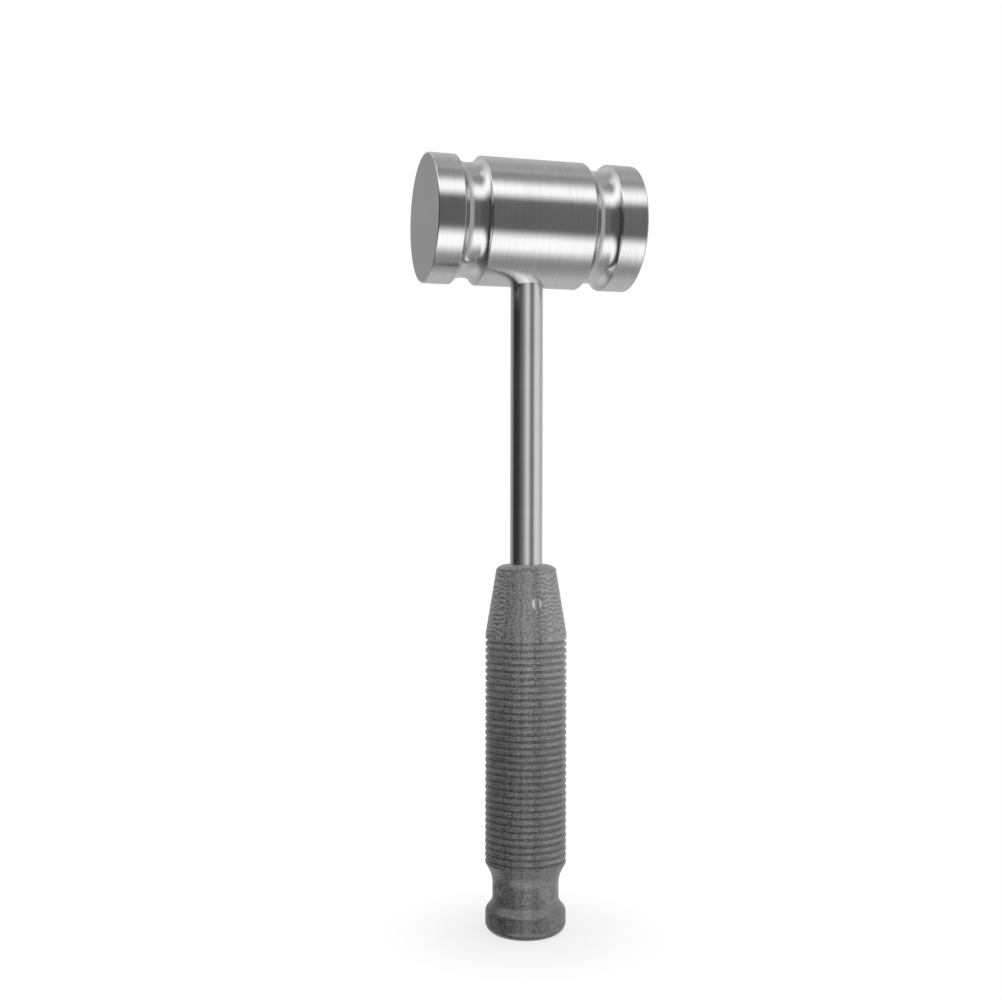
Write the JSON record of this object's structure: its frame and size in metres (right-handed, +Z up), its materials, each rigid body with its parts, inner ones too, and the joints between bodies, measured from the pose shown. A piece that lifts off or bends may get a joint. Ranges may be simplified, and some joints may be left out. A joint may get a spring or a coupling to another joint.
{
  "type": "surgical mallet",
  "caption": "Hand mallet for bone surgery: a channelled solid steel head on a round steel shaft, with a ringed laminate grip that flares to a flat foot.",
  "frame": {"origin": "middle of the flat foot of the grip, on the surface the mallet stands on", "axes": "+Z up the shaft, from the foot to the head; X along the head, between its striking faces; Y along the cross pin of the grip"},
  "size_m": [0.067, 0.04, 0.245],
  "materials": {
    "head_steel": "brushed around the head's axis, satin in the channels, finely ground on the striking faces",
    "shaft_steel": "polished, with very fine lines around the rod",
    "grip_laminate": "turned cloth-and-resin laminate, its plies cut to fine wavy contour lines, matt with a faint satin sheen",
    "pin_steel": "ground flush and polished"
  },
  "bodies": {
    "root": {"head": "head_steel", "shaft": "shaft_steel", "grip": "grip_laminate", "grip_pin": "pin_steel"}
  },
  "joints": []
}
